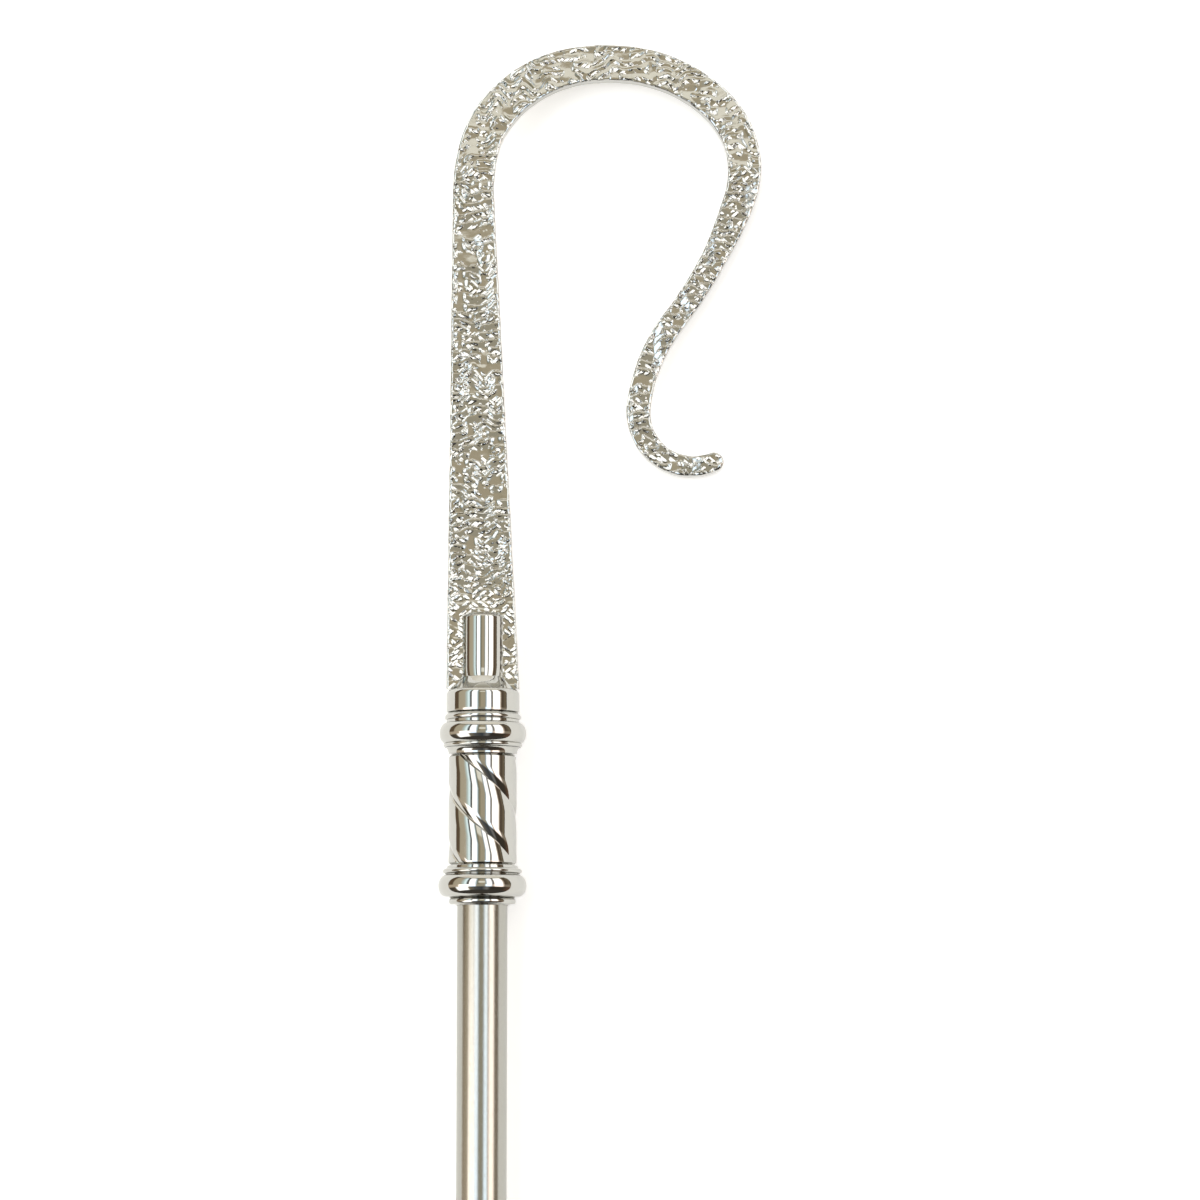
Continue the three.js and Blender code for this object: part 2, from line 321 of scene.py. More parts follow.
def blobLayer(tree, millimetres, lean, shift):
    # leaning oval facets: height = the smaller of thickness - slope * distance up the short side
    # and rim * (reach - distance from the middle), and never below the ground
    size = blobSize
    nodes, link = tree.nodes, tree.links.new
    value = partial(addMath, tree)
    leaning = nodes.new("ShaderNodeMapping")
    leaning.vector_type = "TEXTURE"
    leaning.inputs["Location"].default_value = (shift, 0, 0)
    leaning.inputs["Rotation"].default_value = (0, 0, math.radians(lean))
    leaning.inputs["Scale"].default_value = (size["long"], size["wide"], 1)
    link(millimetres, leaning.inputs["Vector"])
    cells = nodes.new("ShaderNodeTexVoronoi")
    cells.voronoi_dimensions = "2D"
    cells.inputs["Scale"].default_value = 1
    cells.inputs["Randomness"].default_value = size["scatter"]
    link(leaning.outputs["Vector"], cells.inputs["Vector"])
    inCell = nodes.new("ShaderNodeVectorMath")
    inCell.operation = "SUBTRACT"
    link(leaning.outputs["Vector"], inCell.inputs[0])
    link(cells.outputs["Position"], inCell.inputs[1])
    short = nodes.new("ShaderNodeSeparateXYZ")
    link(inCell.outputs["Vector"], short.inputs["Vector"])
    chance = nodes.new("ShaderNodeSeparateColor")
    link(cells.outputs["Color"], chance.inputs["Color"])

    nearer = value("MULTIPLY", chance.outputs["Green"], size["shrink"])
    reach = value("SUBTRACT", size["reach"], nearer)
    rim = value("MULTIPLY", value("SUBTRACT", reach, cells.outputs["Distance"]), size["rim"])
    low, high = size["slope"]
    wide = size["wide"]
    slope = value("MULTIPLY_ADD", chance.outputs["Red"], (high - low) * wide, low * wide)
    facet = value("SUBTRACT", size["thick"], value("MULTIPLY", slope, short.outputs["Y"]))
    there = value("GREATER_THAN", chance.outputs["Blue"], size["share"])
    return value("MULTIPLY", value("MAXIMUM", value("MINIMUM", facet, rim), 0.0), there)


def hammeredPlate():
    # the mesh has the rows, and the bump has the blobs that lie between them, in millimetres
    look = hammeredLook
    material, tree, shader = newPlate("hammeredPlate", look)
    nodes, link = tree.nodes, tree.links.new
    value = partial(addMath, tree)
    coordinates = nodes.new("ShaderNodeTexCoord")
    flat = nodes.new("ShaderNodeMapping")
    flat.inputs["Scale"].default_value = (1000, 1000, 0)
    link(coordinates.outputs["Object"], flat.inputs["Vector"])
    left = blobLayer(tree, flat.outputs["Vector"], blobSize["turn"], 0.0)
    right = blobLayer(tree, flat.outputs["Vector"], -blobSize["turn"], blobSize["shift"])
    patch = addNoise(tree, blobSize["patch"], detail=0)
    either = nodes.new("ShaderNodeMix")
    link(value("GREATER_THAN", patch.outputs["Fac"], 0.5), either.inputs["Factor"])
    link(right, either.inputs["A"])
    link(left, either.inputs["B"])
    ground = nodes.new("ShaderNodeAttribute")
    ground.attribute_name = "blobGround"
    blobs = value("MULTIPLY", either.outputs["Result"], ground.outputs["Fac"])
    grain = addNoise(tree, look["grain"], detail=1)
    height = value("MULTIPLY_ADD", grain.outputs["Fac"], look["grainHeight"], blobs)
    addBump(tree, shader, height, *look["bump"])
    return material


polished = polishedPlate()
hammered = hammeredPlate()
satin = satinPlate()
print("materials made")

# The turned pieces. Every profile runs down the outside, as (radius, y).

socketSize = {
    "pinRadius": 10.5,
    "pinTop": 39.2,
    "dome": 3.2,           # how high the pin's rounded end is
    "flare": 6.5,          # how far up the pin its foot starts to flare out to the collar
    "hollow": 0.5,         # how deeply the flare is hollowed
    "collarRadius": 18.25,
    "shoulder": 1.6,       # how far in from the collar's side its rounded upper edge starts
    "shoulderHeight": 2.8,
    "lowerEdge": 0.35,     # radius of the lower edge
    "sides": 192,
}


def socketProfile(size, grow=0.0, steps=14):
    # grow makes the same outline a little larger all over, for the slot that takes the pin
    pin = size["pinRadius"] + grow
    top = size["pinTop"] + grow
    collar = size["collarRadius"] + grow
    bottom = -collarHeight
    dome, lowerEdge, shoulderHeight = size["dome"], size["lowerEdge"], size["shoulderHeight"]
    neck = np.array([pin, grow + size["flare"]])
    brink = np.array([collar - size["shoulder"], grow])
    side = (collar, grow - shoulderHeight)
    run = brink - neck
    inward = np.array([run[1], -run[0]]) * 2 * size["hollow"] / math.hypot(*run)
    return joined(
        arc((0, top - dome), pin, dome, 90, 0, 3 * steps),
        line((pin, top - dome), neck, 6),
        curve(neck, (neck + brink) / 2 + inward, brink, 2 * steps),
        curve(brink, (collar, grow - shoulderHeight / 3), side, 2 * steps),
        line(side, (collar, bottom + lowerEdge), 4),
        arc((collar - lowerEdge, bottom + lowerEdge), lowerEdge, lowerEdge, 0, -90, steps // 2),
        line((collar - lowerEdge, bottom), (0, bottom), 2),
    )


def makeSocket():
    points, faces = turned(socketProfile(socketSize), socketSize["sides"])
    makePiece("crookSocket", points, faces, polished, "polished_plate", "crook_socket")


upperKnopSize = {
    "top": -11.6,
    "height": 20.6,
    "topRadius": 17.55,
    "footRadius": 17.1,
    "neck": 18.1,
    # a ring or bead is its middle's drop below the top, its radius and half its height
    "ring": (2.2, 19.1, 1.4),
    "bead": (10.2, 21.7, 5.4),
    "lip": (16.1, 19.7, 1.3),
    "skirtRadius": 18.9,
    "sides": 192,
}

lowerKnopSize = {
    "top": -87.6,
    "height": 19.6,
    "topRadius": 17.5,
    "footRadius": 13.6,
    "neck": 18.0,
    "ring": (2.7, 19.8, 1.4),
    "bead": (9.9, 22.0, 5.6),
    "lip": (17.6, 16.7, 1.5),
    "skirtRadius": 15.7,
    "socketRadius": 12.8,
    "socketDepth": 14.3,
    "sides": 192,
}


def knopProfile(size, steps=22):
    # each ring is half an ellipse on the neck, and below them a hollow quarter sweeps in
    top = size["top"]
    runs = [line((0, top), (size["topRadius"], top), 2)]
    for part in ("ring", "bead", "lip"):
        drop, radius, half = size[part]
        neck = min(size["neck"], radius - 1)    # a ring stands out by 1 mm at least
        runs.append(arc((neck, top - drop), radius - neck, half, 90, -90, steps))
    foot, skirt = size["footRadius"], size["skirtRadius"]
    bottom, under = top - size["height"], top - size["lip"][0] - size["lip"][2]
    runs.append(arc((skirt, bottom), foot - skirt, under - bottom, 90, 0, steps // 2))
    return runs


def makeUpperKnop():
    size = upperKnopSize
    bottom = size["top"] - size["height"]
    profile = joined(*knopProfile(size), line((size["footRadius"], bottom), (0, bottom), 2))
    points, faces = turned(profile, size["sides"])
    makePiece("upperKnop", points, faces, polished, "polished_plate", "upper_knop")


def makeLowerKnop():
    size = lowerKnopSize
    bottom = size["top"] - size["height"]
    mouth, roof = size["socketRadius"], bottom + size["socketDepth"]
    profile = joined(
        *knopProfile(size),
        line((size["footRadius"], bottom), (mouth, bottom)),
        line((mouth, bottom), (mouth, roof), 2),
        line((mouth, roof), (0, roof), 2),
    )
    points, faces = turned(profile, size["sides"])
    makePiece("lowerKnop", points, faces, polished, "polished_plate", "lower_knop")


gripSize = {
    "top": -32.5,
    "length": 54.8,
    "radius": 17,
    "flutes": 3,
    "lead": 82,
    "start": 10.6,         # how far down a lobe's edge crosses the crook's face side
    "tuck": 0.65,          # how far a lobe's upper end starts below the full radius
    "crest": 0.31,         # share of a lobe where it has swelled to the full radius
    "fall": 0.75,          # share where it starts to sink
    "depth": 1.35,         # how far it sinks at its lower end
    "step": 0.03,          # share that the sharp edge to the next lobe takes
    "endBand": 1.2,        # over this length at each end the lobes come in
    "lobeColumns": 84,
    "edgeColumns": 4,      # how many of them climb the sharp edge
    "rows": 150,
}


def lobeDepth(phase, size):
    # swelling as a square, level, sinking as a square, then a short climb to the next lobe's start
    edge = 1 - size["step"]
    swell = size["tuck"] * np.clip(1 - phase / size["crest"], 0, 1) ** 2
    sink = size["depth"] * np.clip((phase - size["fall"]) / (edge - size["fall"]), 0, 1) ** 2
    climb = np.clip((phase - edge) / size["step"], 0, 1)
    climbed = size["depth"] + (size["tuck"] - size["depth"]) * climb
    return np.where(phase < edge, swell + sink, climbed)


def makeGrip():
    # angle = 2 pi ((drop - start) / lead - lobe / flutes), radius = grip radius - lobe depth
    size = gripSize
    edge = 1 - size["step"]
    even = np.linspace(0, edge, size["lobeColumns"] - size["edgeColumns"], endpoint=False)
    phase = np.concatenate([even, np.linspace(edge, 1, size["edgeColumns"], endpoint=False)])
    lobes = (np.arange(size["flutes"])[:, None] + phase).ravel() / size["flutes"]
    drop = np.linspace(0, size["length"], size["rows"])
    depth = np.tile(lobeDepth(phase, size), size["flutes"])
    ends = np.minimum(drop, size["length"] - drop)
    band = smooth(0, size["endBand"], ends)[:, None]
    radius = size["radius"] - size["depth"] * (1 - band) - depth * band
    angle = 2 * math.pi * ((drop[:, None] - size["start"]) / size["lead"] - lobes)
    height = np.repeat((size["top"] - drop)[:, None], len(lobes), axis=1)
    points = np.stack([radius * np.sin(angle), height, radius * np.cos(angle)], -1).reshape(-1, 3)
    rows, around = angle.shape
    faces = gridFaces(rows, around, closedColumns=True).tolist()
    bottom = size["top"] - size["length"]
    points, faces = addPoles(points, faces, around, size["top"], bottom, flip=True)
    makePiece("spiralGrip", points, faces, polished, "polished_plate", "spiral_grip", sharp=28)


shaftSize = {"radius": 12.5, "wall": 1.5, "sides": 160, "rows": 60}


def footLevels():
    # the levels of the foot's two ends and of the tube's two ends, read from the frame
    foot = (nodePoints("foot_ferrule") - staff["origin"]) @ staff["up"] * 1000
    tube = (nodePoints("shaft_tube") - staff["origin"]) @ staff["up"] * 1000
    return foot.min(), foot.max(), tube.min(), tube.max()


footEnd, footMouth, tubeEnd, tubeTop = footLevels()


def makeShaft():
    size = shaftSize
    outer, inner = size["radius"], size["radius"] - size["wall"]
    profile = joined(
        line((outer, tubeTop), (outer, tubeEnd), size["rows"]),
        line((inner, tubeEnd), (inner, tubeTop), size["rows"]),
    )
    points, faces = turned(profile, size["sides"])
    makePiece("shaftTube", points, faces, satin, "satin_plate", "shaft_tube")


footSize = {
    "bore": 12.8,
    "wall": 1.8,
    "ring": 1.4,           # how far the ring round its mouth stands out
    "ringHeight": 5,
    "edge": 4,             # radius of the lower edge
    "solidEnd": 12,
    "sides": 160,
}


def makeFoot():
    size = footSize
    bore, outer = size["bore"], size["bore"] + size["wall"]
    half, edge = size["ringHeight"] / 2, size["edge"]
    floor = footEnd + size["solidEnd"]
    profile = joined(
        line((0, floor), (bore, floor), 2),
        line((bore, floor), (bore, footMouth), 4),
        arc((outer, footMouth - half), size["ring"], half, 90, -90, 20),
        line((outer, footMouth - 2 * half), (outer, footEnd + edge), 6),
        arc((outer - edge, footEnd + edge), edge, edge, 0, -90, 16),
        line((outer - edge, footEnd), (0, footEnd), 2),
    )
    points, faces = turned(profile, size["sides"])
    makePiece("footFerrule", points, faces, polished, "polished_plate", "foot_ferrule")


# The crook: a flat bar carried along a bent centreline, with relief on both faces.

crookSize = {
    "base": 0.4,           # how far above the collar the bar stops
    "thickness": 8,
    "edge": 1.2,           # radius along the bar's long edges
    "shank": 250,          # the nearly straight rise from the collar
    "lean": 1.3,           # degrees that it leans away from the hook
    "tipRun": 2.5,         # the last straight bit
    # radius and degrees turned, positive towards the hook's mouth
    "bends": [(98, 14.4), (51, 26.1), (65, 41.0), (94, 18.3), (75, 35.2), (47, 65.2), (222, 18.4),
              (90, -30.0), (28, -50.2), (26.5, -66)],
    # the bar's width at shares of its length, and how many steps that is averaged over
    "widthAt": [0, 0.19, 0.39, 0.47, 0.56, 0.725, 0.79, 0.92, 1],
    "width": [36.5, 28.6, 20.8, 19.9, 18.2, 16.6, 12.4, 12.2, 9.8],
    "softened": 41,
    "step": 0.42,          # from one row of the mesh to the next
    "tipRows": 25,
    "frontColumns": 34,
    "backColumns": 12,
    "edgeColumns": 4,
    "waver": 0.12,         # how far the edges stray from true
    "waverLength": 4.5,
    "waverFrom": (2, 12),  # up the shank, where it comes in
    "slotGap": 0.15,       # between the slot and the pin
    "seeds": {"edges": 71, "front": 11, "back": 47},
}


def crookCentreline(size):
    # heading falls evenly along each bend, and the line is the running sum of its direction
    bends = [(radius, math.radians(turn)) for radius, turn in size["bends"]]
    lengths = [size["shank"]] + [radius * abs(turn) for radius, turn in bends] + [size["tipRun"]]
    turns = [0] + [turn for _, turn in bends] + [0]
    ends = np.cumsum(lengths)
    total = ends[-1]
    count = int(total / size["step"]) + 1
    s = np.linspace(0, total, count)
    turnedBy = np.interp(s, np.r_[0, ends], np.r_[0, np.cumsum(turns)])
    heading = math.pi / 2 + math.radians(size["lean"]) - turnedBy
    between = (heading[1:] + heading[:-1]) / 2
    step = np.diff(s)
    x = np.r_[0, np.cumsum(np.cos(between) * step)]
    y = np.r_[0, np.cumsum(np.sin(between) * step)]
    half = np.interp(s / total, size["widthAt"], size["width"]) / 2
    soft = size["softened"]
    half = np.convolve(np.pad(half, soft // 2, mode="edge"), np.ones(soft) / soft, "valid")
    waver = noise(s / size["waverLength"], np.zeros(count), size["seeds"]["edges"])
    half = half + size["waver"] * waver * smooth(*size["waverFrom"], s)
    return x, y, heading, half


reliefSize = {
    "pitch": 4.3,          # from one row of wrinkles to the next
    # these pairs are for the arch and for the shank below it
    "rise": (0.17, 0.40),  # how high a row climbs
    "side": (0.42, 0.19),  # share of a row that its falling side takes
    "wave": (0.18, 0.05),  # height of the soft swells
    "swell": (6, 4),       # millimetres from one of them to the next, across and up
    "tilt": 0.08,          # how far the rows rise for each millimetre across
    # noises that bend the rows: millimetres up and down, and from bend to bend across and up
    "bends": [(4.0, 6.5, 14), (0.9, 2.6, 5)],
    "gaps": (0.4, 0.2),    # how rare the gaps in a row are, and how much rarer in the tail
    "gapWidth": 6,         # millimetres across, of the noise that makes them
    "gapEdge": 0.1,        # how softly they start and end, in that noise
    "rowShift": (7, 3.7),  # moves each row's gaps away from the next row's
    "lowRows": 0.7,        # share of their height that the rows lose at the shank's foot
    "stray": (0.5, 0.6),   # where a noise passes these, blobs stray up a row's climbing side
    "strayWidth": 3,       # millimetres, of that noise
    "strayTail": 0.35,     # what the tail adds to it
    # these are where one zone has changed to the next
    "archFrom": (255, 275),    # up the staff
    "footTo": (30, 70),        # up the staff, where there are blobs all over and low rows
    "tailFrom": (60, 80),      # across, below the arch
    "blobs": (0.02, 0.10, 0.46, 0.60),  # shares of a row: ground starts, full, fades, ends
    "snap": 0.05,          # points this close to a row's edge, in rows, move onto it
    "sunk": (0.25, 0.8),   # how far the ground lies below the bar's flat face, front and back
    "margin": (0.1, 1.0),  # the strip along the bar's edges where the relief comes in
}


def rowPlace(x, y, seed):
    # which row a point is in, counted in rows, after the rows are tilted and bent up and down
    size = reliefSize
    bent = y - size["tilt"] * x
    for i, (far, across, up) in enumerate(size["bends"]):
        bent = bent + far * noise(x / across, y / up, seed + i)
    return bent / size["pitch"]


def relief(x, y, seed):
    # A row climbs gently towards the crown and then falls in one short side, which catches the
    # pale end of the studio. Points near a row's two edges are moved along y onto them, to keep
    # the edges crisp. Returns the height, the move along y, and how much of the blobs' ground
    # each point is.
    size = reliefSize
    below = 1 - smooth(*size["archFrom"], y)
    low = 1 - smooth(*size["footTo"], y)
    tail = smooth(*size["tailFrom"], x) * below
    pairs = [size["rise"], size["side"], size["wave"]]
    rise, side, wave = (arch + (shank - arch) * below for arch, shank in pairs)
    v = rowPlace(x, y, seed)
    row = np.floor(v)
    f = v - row
    # each row has gaps of its own, fewer in the tail
    shiftX, shiftY = size["rowShift"]
    rare, rarer = size["gaps"]
    gaps = noise(x / size["gapWidth"] + shiftX * row, row * shiftY, seed + 2)
    present = smooth(-size["gapEdge"], size["gapEdge"], gaps + rare + rarer * tail)
    strength = present * (1 - size["lowRows"] * low)
    snapped = np.where(np.abs(f - (1 - side)) < size["snap"], 1 - side, f)
    snapped = np.where(f > 1 - size["snap"], 1, np.where(f < size["snap"], 0, snapped))
    height = np.minimum(snapped / (1 - side), (1 - snapped) / side)
    across, up = size["swell"]
    wave = wave * noise(x / across, y / up, seed + 4)
    start, full, fade, end = size["blobs"]
    ground = smooth(start, full, f) * (1 - smooth(fade, end, f)) * present
    # a few blobs stray up a row's climbing side, more of them in the tail
    patches = noise(x / size["strayWidth"], y / size["strayWidth"], seed + 5)
    stray = smooth(*size["stray"], patches + size["strayTail"] * tail) * (f < 1 - side)
    ground = np.clip(ground + stray + low, 0, 1)
    return rise * strength * height + wave, (snapped - f) * size["pitch"], ground


def sectionColumns(half, edge, inner, rim):
    # where the mesh's columns lie across the bar, each row of the array one station
    edge = np.minimum(edge, half)[:, None]
    level = half[:, None] - edge
    # even columns across the level strip, the outermost about a quarter millimetre inside its ends
    even = (1 - 0.25 / (level + 0.5)) * np.linspace(-1, 1, inner - 2)
    end = np.ones_like(level)
    flat = level * np.concatenate([-end, even, end], axis=1)
    turn = np.sin(np.linspace(0, math.pi / 2, rim + 1))[1:]
    right = level + edge * turn
    left = -right[:, ::-1]
    return np.concatenate([left, flat, right], axis=1)


def faceHeight(d, thickness, edge):
    # half the thickness, rounded off over the last stretch: z = t/2 - e + sqrt(e^2 - (e - d)^2)
    inside = np.clip(edge - d, 0, edge)
    return thickness / 2 - edge + np.sqrt(edge**2 - inside**2)


def crookFace(size, side, columns):
    # one face of the bar: side 1 is the front and -1 the back
    x, y, heading, half = crookCentreline(size)
    tipHalf = half[-1]
    # the tip is a half circle, with stations that crowd towards its end
    angle = np.linspace(0, math.pi / 2, size["tipRows"] + 1)[1:]
    run = tipHalf * np.sin(angle)
    x = np.r_[x, x[-1] + run * math.cos(heading[-1])]
    y = np.r_[y, y[-1] + run * math.sin(heading[-1])]
    heading = np.r_[heading, np.full(len(run), heading[-1])]
    body = len(half)
    half = np.r_[half, tipHalf * np.cos(angle)]
    past = np.r_[np.zeros(body), run]
    w = sectionColumns(half, size["edge"], columns, size["edgeColumns"])
    fromTip = tipHalf - np.hypot(past[:, None], w)
    toSide = half[:, None] - np.abs(w)
    d = np.where(past[:, None] > 0, fromTip, toSide)
    px = x[:, None] + np.sin(heading)[:, None] * w
    py = y[:, None] - np.cos(heading)[:, None] * w
    py = np.maximum(py, size["base"])
    seed = size["seeds"]["front" if side > 0 else "back"]
    margin = smooth(*reliefSize["margin"], d)
    height, shift, ground = relief(px, py, seed)
    sunk = reliefSize["sunk"][0 if side > 0 else 1]
    z = faceHeight(d, size["thickness"], size["edge"]) + margin * (height - sunk)
    return np.stack([px, py + margin * shift, side * z], -1), ground * margin


def ringFaces(frontShape, backShape):
    # front and back faces, the side walls between them, and the flat foot
    rows, front = frontShape
    back = backShape[1]
    start = rows * front
    faces = gridFaces(rows, front)[:, ::-1].tolist()
    faces += (gridFaces(rows, back) + start).tolist()
    r = np.arange(rows - 1)
    leftFront, leftBack = r * front, start + r * back
    rightFront, rightBack = leftFront + front - 1, leftBack + back - 1
    faces += np.stack([leftFront, leftFront + front, leftBack + back, leftBack], -1).tolist()
    faces += np.stack([rightFront, rightBack, rightBack + back, rightFront + front], -1).tolist()
    foot = np.r_[np.arange(front), start + np.arange(back)[::-1]]
    faces.append(foot.tolist())
    return faces


def makeCrook():
    size = crookSize
    frontFace, frontGround = crookFace(size, 1, size["frontColumns"])
    backFace, backGround = crookFace(size, -1, size["backColumns"])
    faces = ringFaces(frontFace.shape[:2], backFace.shape[:2])
    points = np.concatenate([frontFace.reshape(-1, 3), backFace.reshape(-1, 3)])
    piece = makePiece("hammeredCrook", points, faces, hammered, "hammered_plate", "crook", sharp=24)
    ground = piece.data.attributes.new("blobGround", "FLOAT", "POINT")
    values = np.r_[frontGround.ravel(), backGround.ravel()].astype(np.float32)
    ground.data.foreach_set("value", values)
    cutSlot(piece)
    return piece


def cutSlot(piece):
    # the slot is the socket's own outline, grown by the hairline gap
    profile = socketProfile(socketSize, grow=crookSize["slotGap"])
    points, faces = turned(profile, socketSize["sides"] // 2)
    mesh = bpy.data.meshes.new("slotCutter")
    mesh.from_pydata(place(points).tolist(), [], faces)
    cutter = bpy.data.objects.new("slotCutter", mesh)
    bpy.context.scene.collection.objects.link(cutter)
    cut = piece.modifiers.new("slot", "BOOLEAN")
    cut.operation = "DIFFERENCE"
    cut.solver = "EXACT"
    cut.object = cutter
    bpy.context.view_layer.update()
    shaped = piece.evaluated_get(bpy.context.evaluated_depsgraph_get())
    carved = bpy.data.meshes.new_from_object(shaped)
    piece.modifiers.clear()
    piece.data = carved
    bpy.data.objects.remove(cutter)
    print(f"crook with its slot: {len(carved.polygons)} faces")


makeSocket()
makeUpperKnop()
makeGrip()
makeLowerKnop()
makeShaft()
makeFoot()
makeCrook()

# The camera looks down on the staff from the photograph's place: level with the hook's middle
# across, a little towards the foot, and turned so that the staff stands upright in the picture.

cameraSize = {
    "across": 58.3,        # the spot that it looks at, beside the staff's axis
    "middle": 45.2,        # and up the staff
    "back": 220,           # how far it stands towards the foot from there
    "height": 1900,        # and how far out in front of the staff
    "pixelsPerMm": 2.0,    # the photograph's scale
    "frame": 1200,         # and its width in pixels
    "sensor": 36,          # a usual camera's, in millimetres
    "farthest": 30,        # metres
}


def makeCamera():
    size = cameraSize
    target = place(np.array([size["across"], size["middle"], 0.0]))
    spot = place(np.array([size["across"], size["middle"] - size["back"], size["height"]]))
    back = unit(spot - target)
    side = unit(np.cross(staff["up"], back))
    over = np.cross(back, side)
    camera = bpy.data.objects.new("camera", bpy.data.cameras.new("camera"))
    rows = np.vstack([np.stack([side, over, back, spot], -1), [0, 0, 0, 1]])
    camera.matrix_world = Matrix(rows.tolist())
    distance = math.hypot(size["height"], size["back"])
    camera.data.sensor_width = size["sensor"]
    camera.data.lens = size["sensor"] * size["pixelsPerMm"] * distance / size["frame"]
    camera.data.clip_end = size["farthest"]
    bpy.context.scene.collection.objects.link(camera)
    bpy.context.scene.camera = camera


floorLook = {
    "reach": 8,                     # metres from the middle to a side
    "color": (0.93, 0.925, 0.91),
    "roughness": 0.9,
    "specular": 0.1,
    "glow": (1, 0.995, 0.98),       # lifts the shadows to the plain white that the photograph has
    "glowStrength": 0.37,
}


def makeFloor():
    look = floorLook
    reach = look["reach"]
    mesh = bpy.data.meshes.new("floor")
    corners = [(-reach, -reach, 0), (reach, -reach, 0), (reach, reach, 0), (-reach, reach, 0)]
    mesh.from_pydata(corners, [], [(0, 1, 2, 3)])
    material = bpy.data.materials.new("paleFloor")
    material.use_nodes = True
    shader = material.node_tree.nodes["Principled BSDF"]
    shader.inputs["Base Color"].default_value = (*look["color"], 1)
    shader.inputs["Roughness"].default_value = look["roughness"]
    shader.inputs["Specular IOR Level"].default_value = look["specular"]
    shader.inputs["Emission Color"].default_value = (*look["glow"], 1)
    shader.inputs["Emission Strength"].default_value = look["glowStrength"]
    mesh.materials.append(material)
    floor = bpy.data.objects.new("floor", mesh)
    bpy.context.scene.collection.objects.link(floor)


# The studio is one soft surround of strips that run along the staff, darker towards the foot.

studio = {
    "strength": 1.53,
    # across the staff, in degrees from straight above, negative to the left
    "strips": [
        (-180, (0.335, 0.285, 0.214)),
        (-92, (0.134, 0.093, 0.059)),           # dark above the floor
        (-83, (0.134, 0.093, 0.059)),
        (-79, (0.525, 0.461, 0.343)),           # taupe wall
        (-58, (0.559, 0.494, 0.375)),
        (-50, (0.65, 0.78, 0.78)),              # pale blue window
        (-43, (1.174, 1.426, 1.501)),
        (-40, (0.559, 0.658, 0.708)),
        (-38, (0.078, 0.077, 0.075)),           # dark frame
        (-35, (0.078, 0.077, 0.075)),
        (-32, (1.9, 1.9, 1.9)),                 # left light
        (-19, (1.9, 1.9, 1.9)),
        (-15, (0.671, 0.834, 0.965)),
        (-12, (0.246, 0.252, 0.193)),           # dark stand
        (-7, (0.335, 0.296, 0.204)),
        (-3, (0.49, 0.425, 0.308)),             # warm middle
        (8, (0.47, 0.415, 0.304)),
        (11, (0.402, 0.461, 0.472)),
        (13, (0.783, 0.943, 1.179)),
        (15, (1.9, 1.9, 1.9)),                  # right light
        (25, (1.9, 1.9, 1.9)),
        (27.5, (0.559, 0.625, 0.729)),
        (29, (0.224, 0.186, 0.15)),             # dark gap
        (32, (0.224, 0.186, 0.15)),
        (35, (2.0, 2.0, 2.0)),                  # wide light
        (55, (2.0, 2.0, 2.0)),
        (59, (0.60, 0.48, 0.38)),
        (63, (0.10, 0.07, 0.048)),              # dark wall
        (70, (0.13, 0.10, 0.07)),
        (77, (0.22, 0.175, 0.12)),
        (82, (0.06, 0.045, 0.03)),
        (92, (0.056, 0.044, 0.032)),
    ],
    # the same, where the shaft sees it
    "shaftStrips": [
        (-180, (0.348, 0.296, 0.222)),
        (-92, (0.519, 0.436, 0.332)),           # taupe wall
        (-66, (0.609, 0.506, 0.386)),
        (-60, (2.59, 2.38, 2.23)),              # cream light
        (-36, (2.59, 2.38, 2.23)),
        (-31, (1.61, 1.87, 2.23)),              # blue light
        (-18, (1.61, 1.87, 2.23)),
        (-14, (0.415, 0.384, 0.301)),           # dark middle
        (8, (0.415, 0.384, 0.301)),
        (12, (1.56, 1.87, 2.23)),               # blue light
        (24, (1.56, 1.87, 2.23)),
        (28, (0.799, 0.653, 0.55)),             # dim gap
        (32, (0.799, 0.653, 0.55)),
        (36, (2.38, 2.07, 1.92)),               # cream light
        (54, (2.38, 2.07, 1.92)),
        (62, (0.321, 0.266, 0.207)),            # dark wall
        (92, (0.321, 0.266, 0.207)),
    ],
    # the same, low towards the foot
    "footwards": [
        (-180, (0.335, 0.285, 0.214)),
        (-88, (0.067, 0.055, 0.043)),
        (-76, (0.134, 0.11, 0.075)),
        (-70, (1.9, 1.9, 1.9)),                 # left light
        (-40, (1.9, 1.9, 1.9)),
        (-35, (0.246, 0.208, 0.15)),
        (-20, (0.11, 0.11, 0.11)),              # dark middle
        (0, (0.055, 0.062, 0.07)),
        (14, (0.224, 0.219, 0.214)),
        (24, (0.045, 0.038, 0.032)),
        (60, (0.056, 0.044, 0.032)),
        (85, (0.179, 0.099, 0.064)),
        (92, (0.056, 0.044, 0.032)),
    ],
    # along the staff, in degrees towards the crook: dark, clear while the strips show, a thin dark
    # edge and a pale end
    "ends": [
        (-90, (0.067, 0.055, 0.043)),
        (-60, (0.056, 0.05, 0.043)),
        (46, (0.045, 0.04, 0.035)),
        (49, (0.045, 0.04, 0.035)),
        (52, (0.92, 0.88, 0.79)),
        (64, (0.88, 0.83, 0.73)),
        (76, (1.0, 0.97, 0.90)),
        (90, (1.0, 0.97, 0.90)),
    ],
    # where one part changes to the next, in degrees towards the crook
    "floorEdge": (-43, -35),
    "footEdge": (-16, -9),
    "shaftEdge": (1.1, 2.2),
    "crookEdge": (44, 48),
    # a pale patch above the crook: where it starts, is full, fades and ends, and how wide it is
    "cloud": (1.0, 0.97, 0.86),
    "cloudEdges": (11.5, 15, 24, 29),
    "cloudSides": (6, 10),
}


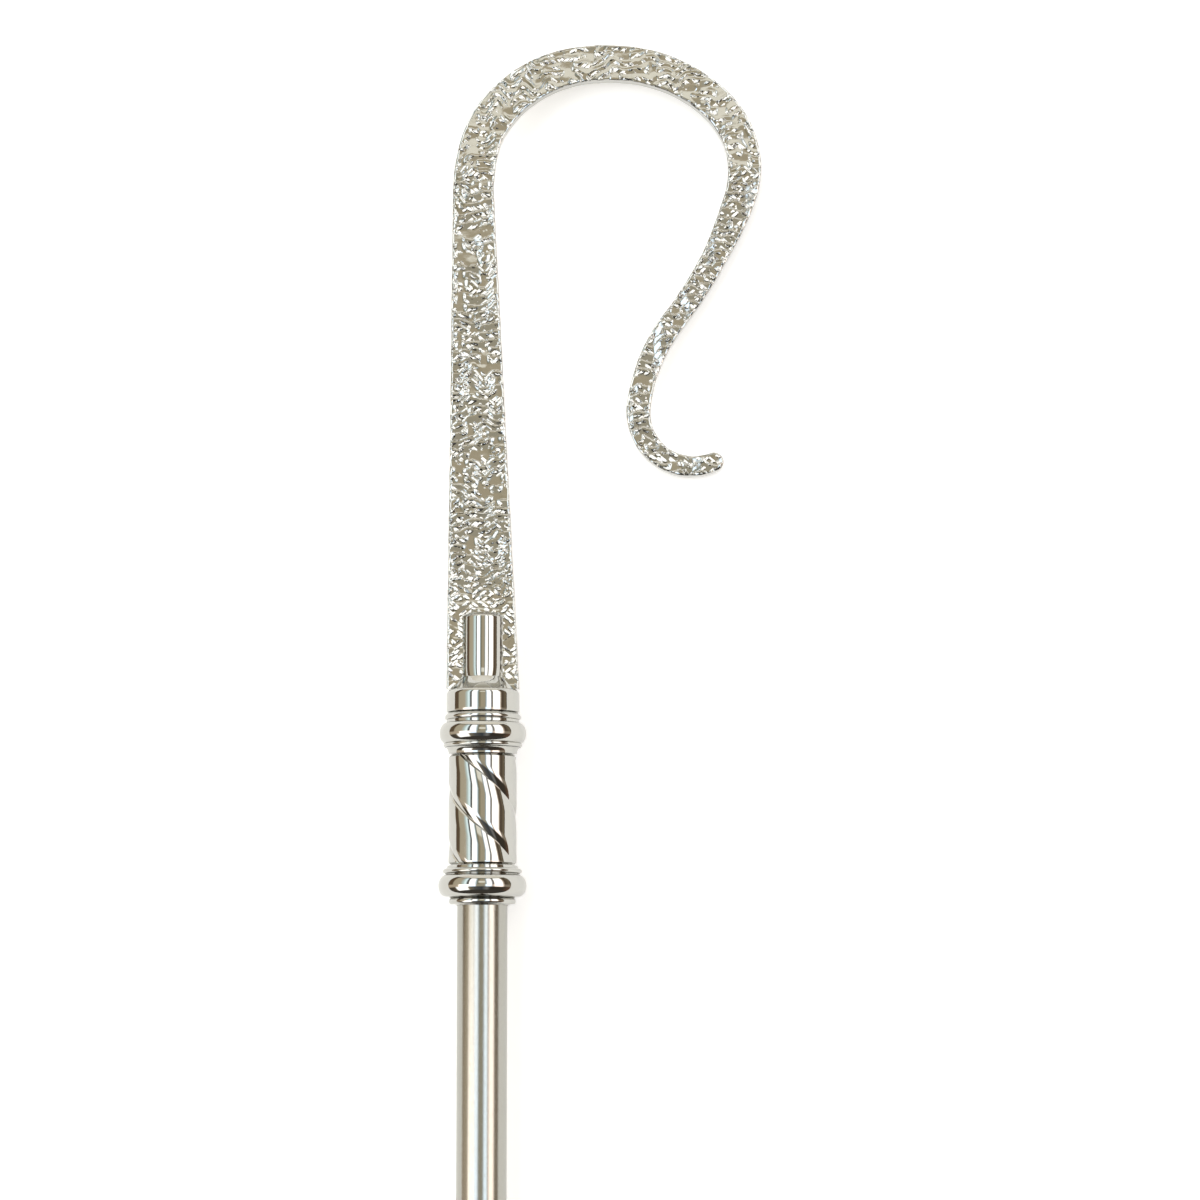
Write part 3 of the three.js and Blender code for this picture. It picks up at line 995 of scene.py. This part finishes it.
def makeWorld():
    world = bpy.data.worlds.new("studio")
    world.use_nodes = True
    bpy.context.scene.world = world
    tree = world.node_tree
    background = tree.nodes["Background"]
    background.inputs["Strength"].default_value = studio["strength"]
    direction = tree.nodes.new("ShaderNodeTexCoord").outputs["Generated"]
    value = partial(addMath, tree)

    def along(axis):
        # how far the direction points along one of the staff's axes
        dot = tree.nodes.new("ShaderNodeVectorMath")
        dot.operation = "DOT_PRODUCT"
        tree.links.new(direction, dot.inputs[0])
        dot.inputs[1].default_value = axis
        return dot.outputs["Value"]

    def ramp(stops, factor):
        # colours at their angles, spread over a full turn
        node = tree.nodes.new("ShaderNodeValToRGB")
        tree.links.new(factor, node.inputs["Fac"])
        elements = node.color_ramp.elements
        while len(elements) > 1:
            elements.remove(elements[-1])
        for i, (angle, color) in enumerate(stops):
            spot = angle / 360 + 0.5
            element = elements[0] if i == 0 else elements.new(spot)
            element.position = spot
            element.color = (*color, 1)
        return node.outputs["Color"]

    def band(angle, low, high):
        # 0 below low, 1 above high, both in degrees
        node = tree.nodes.new("ShaderNodeMapRange")
        node.interpolation_type = "SMOOTHSTEP"
        tree.links.new(angle, node.inputs["Value"])
        node.inputs["From Min"].default_value = math.radians(low)
        node.inputs["From Max"].default_value = math.radians(high)
        return node.outputs["Result"]

    def until(angle, low, high):
        # 1 below low, 0 above high
        return value("SUBTRACT", 1.0, band(angle, low, high))

    def blend(factor, low, high, kind="MIX"):
        node = tree.nodes.new("ShaderNodeMix")
        node.data_type = "RGBA"
        node.blend_type = kind
        sockets = (node.inputs["Factor"], node.inputs["A"], node.inputs["B"])
        for socket, entry in zip(sockets, (factor, low, high)):
            if isinstance(entry, tuple):
                socket.default_value = (*entry, 1)
            else:
                tree.links.new(entry, socket)
        return node.outputs["Result"]

    def asTurn(angle):
        # a full turn spread over a color ramp's 0 to 1
        return value("ADD", value("DIVIDE", angle, 2 * math.pi), 0.5)

    across = asTurn(value("ARCTAN2", along(staff["right"]), along(staff["out"])))
    rise = value("ARCSINE", along(staff["up"]))
    start, full, fade, end = studio["cloudEdges"]
    clouded = value("MULTIPLY", band(rise, start, full), until(rise, fade, end))
    offCentre = value("ABSOLUTE", value("ARCSINE", along(staff["right"])))
    clouded = value("MULTIPLY", clouded, until(offCentre, *studio["cloudSides"]))
    strips = blend(clouded, ramp(studio["strips"], across), studio["cloud"], "LIGHTEN")
    strips = blend(band(rise, *studio["shaftEdge"]), ramp(studio["shaftStrips"], across), strips)
    body = blend(band(rise, *studio["footEdge"]), ramp(studio["footwards"], across), strips)
    low, high = studio["floorEdge"], studio["crookEdge"]
    inside = value("MULTIPLY", band(rise, *low), until(rise, *high))
    whole = blend(inside, ramp(studio["ends"], asTurn(rise)), body)
    tree.links.new(whole, background.inputs["Color"])


makeCamera()
makeFloor()
makeWorld()
bpy.context.scene.view_settings.view_transform = "Standard"
print("camera, floor and studio made")
